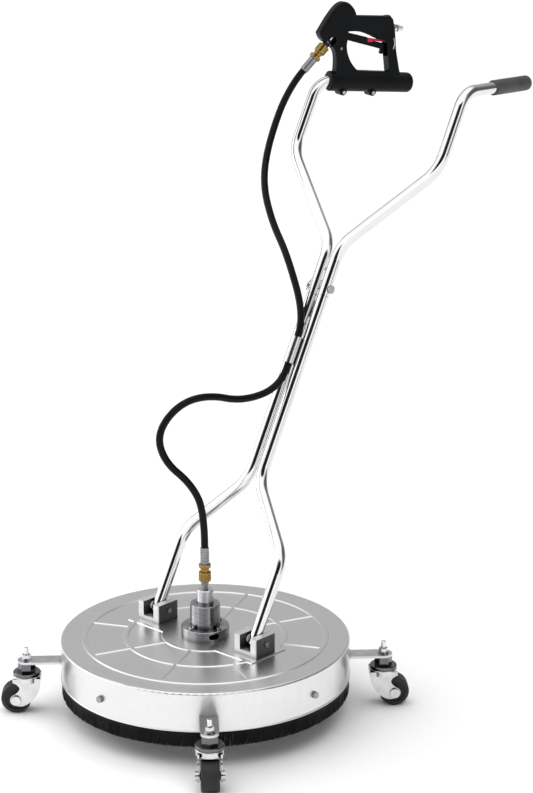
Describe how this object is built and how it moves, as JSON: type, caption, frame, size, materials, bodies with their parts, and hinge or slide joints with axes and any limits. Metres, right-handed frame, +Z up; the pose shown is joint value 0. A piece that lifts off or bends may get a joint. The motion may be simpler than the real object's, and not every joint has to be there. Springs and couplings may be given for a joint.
{
  "type": "rotary surface cleaner",
  "caption": "Pressure-washer surface cleaner: round steel drum with brush skirt and spray bar, swivel casters, leaning two-arm handle, trigger gun and hose.",
  "frame": {"origin": "centre of the machine's footprint on the floor", "axes": "+Z up, the handle leans back towards +Y, +X towards the arm with the rubber grip"},
  "size_m": [0.6348, 1.136, 1.4317],
  "materials": {
    "brushed_deck": "brushed",
    "bristle": "matte",
    "fastener": "bright",
    "block_aluminium": "satin",
    "washer_nylon": "matte",
    "turned_steel": "turned",
    "nozzle_brass": "turned",
    "ferrule_steel": "satin",
    "hose_rubber": "satin",
    "chrome_tube": "polished",
    "grip_rubber": "matte",
    "gun_black": "satin",
    "latch_red": "gloss",
    "zinc": "plated",
    "tyre_black": "matte"
  },
  "bodies": {
    "chassis": {"drum_deck": "brushed_deck", "brush_band": "brushed_deck", "brush_skirt": "bristle", "wall_bolts": "fastener", "bracket_left": "block_aluminium", "bracket_right": "block_aluminium", "pivot_bolts": "fastener", "pivot_spacers": "washer_nylon", "swivel_flange": "turned_steel", "flange_screws": "fastener", "swivel_housing": "turned_steel", "swivel_bearings": "turned_steel", "inlet_cap": "turned_steel", "inlet_nipple": "turned_steel", "coupler_body_lower": "nozzle_brass", "ferrule_lower": "ferrule_steel", "hose_lower": "hose_rubber", "caster_arms": "brushed_deck", "arm_screws": "fastener", "caster_stems": "fastener", "stem_nuts": "fastener"},
    "rotor": {"rotor_shaft": "turned_steel", "rotor_hub": "turned_steel", "spray_arms": "turned_steel", "spray_nozzles": "nozzle_brass"},
    "handle": {"leg_left": "chrome_tube", "leg_right": "chrome_tube", "arm_left": "chrome_tube", "arm_right": "chrome_tube", "tube_spigots": "turned_steel", "weld_webs": "turned_steel", "clevis_pin": "fastener", "hose_guide": "ferrule_steel", "rubber_grip": "grip_rubber", "hose_upper": "hose_rubber", "ferrule_upper": "ferrule_steel", "coupler_body_upper": "nozzle_brass", "outlet_nipple": "turned_steel", "gun_shell_near": "gun_black", "gun_shell_far": "gun_black", "gun_shell_screws": "fastener", "gun_sleeve": "gun_black", "clamp_screws": "fastener", "valve_body": "turned_steel", "inlet_plug": "turned_steel", "trigger_pin": "fastener", "wire_clip": "fastener"},
    "clip": {"r_clip": "fastener"},
    "sleeve_lower": {"coupler_sleeve_lower": "nozzle_brass"},
    "sleeve_upper": {"coupler_sleeve_upper": "nozzle_brass"},
    "trigger": {"trigger": "gun_black"},
    "latch": {"safety_latch": "latch_red"},
    "caster_front_right": {"fork_front_right": "zinc"},
    "wheel_front_right": {"wheel_front_right": "tyre_black"},
    "caster_back_right": {"fork_back_right": "zinc"},
    "wheel_back_right": {"wheel_back_right": "tyre_black"},
    "caster_back_left": {"fork_back_left": "zinc"},
    "wheel_back_left": {"wheel_back_left": "tyre_black"},
    "caster_front_left": {"fork_front_left": "zinc"},
    "wheel_front_left": {"wheel_front_left": "tyre_black"}
  },
  "joints": [
    {"name": "handle_tilt", "type": "hinge", "parent": "chassis", "child": "handle", "pos_m": [0, -0.2525, 0.189], "axis": [1, 0, 0], "range_deg": [0, 28], "deforming": ["hose_lower"]},
    {"name": "rotor_spin", "type": "hinge", "parent": "chassis", "child": "rotor", "pos_m": [0, -0.2525, 0.101], "axis": [0, 0, 1], "continuous": true},
    {"name": "trigger_pull", "type": "hinge", "parent": "handle", "child": "trigger", "pos_m": [-0.17669, 0.3937, 1.35708], "axis": [0.9135, -0.4067, 0], "range_deg": [0, 4.5], "stiffness_Nm_per_rad": 2, "springref_deg": -3.44},
    {"name": "latch_flip", "type": "hinge", "parent": "trigger", "child": "latch", "pos_m": [-0.15143, 0.45042, 1.34104], "axis": [0.9135, -0.4067, 0], "range_deg": [0, 8]},
    {"name": "clip_pull", "type": "slide", "parent": "handle", "child": "clip", "axis": [0, 0.8572, 0.515], "range_m": [0, 0.034]},
    {"name": "lower_coupler_release", "type": "slide", "parent": "chassis", "child": "sleeve_lower", "axis": [0, 0, 1], "range_m": [0, 0.004], "stiffness_N_per_m": 800, "springref_m": -0.003},
    {"name": "upper_coupler_release", "type": "slide", "parent": "handle", "child": "sleeve_upper", "axis": [-0.2841, -0.638, -0.7157], "range_m": [0, 0.004], "stiffness_N_per_m": 800, "springref_m": -0.003},
    {"name": "swivel_front_right", "type": "hinge", "parent": "chassis", "child": "caster_front_right", "pos_m": [0.26729, -0.51979, 0.08], "axis": [0, 0, 1], "continuous": true},
    {"name": "roll_front_right", "type": "hinge", "parent": "caster_front_right", "child": "wheel_front_right", "pos_m": [0.28355, -0.53605, 0.03175], "axis": [0.7071, 0.7071, 0], "continuous": true},
    {"name": "swivel_back_right", "type": "hinge", "parent": "chassis", "child": "caster_back_right", "pos_m": [0.26729, 0.01479, 0.08], "axis": [0, 0, 1], "continuous": true},
    {"name": "roll_back_right", "type": "hinge", "parent": "caster_back_right", "child": "wheel_back_right", "pos_m": [0.28355, 0.03105, 0.03175], "axis": [-0.7071, 0.7071, 0], "continuous": true},
    {"name": "swivel_back_left", "type": "hinge", "parent": "chassis", "child": "caster_back_left", "pos_m": [-0.26729, 0.01479, 0.08], "axis": [0, 0, 1], "continuous": true},
    {"name": "roll_back_left", "type": "hinge", "parent": "caster_back_left", "child": "wheel_back_left", "pos_m": [-0.28355, 0.03105, 0.03175], "axis": [-0.7071, -0.7071, 0], "continuous": true},
    {"name": "swivel_front_left", "type": "hinge", "parent": "chassis", "child": "caster_front_left", "pos_m": [-0.26729, -0.51979, 0.08], "axis": [0, 0, 1], "continuous": true},
    {"name": "roll_front_left", "type": "hinge", "parent": "caster_front_left", "child": "wheel_front_left", "pos_m": [-0.28355, -0.53605, 0.03175], "axis": [0.7071, -0.7071, 0], "continuous": true}
  ]
}
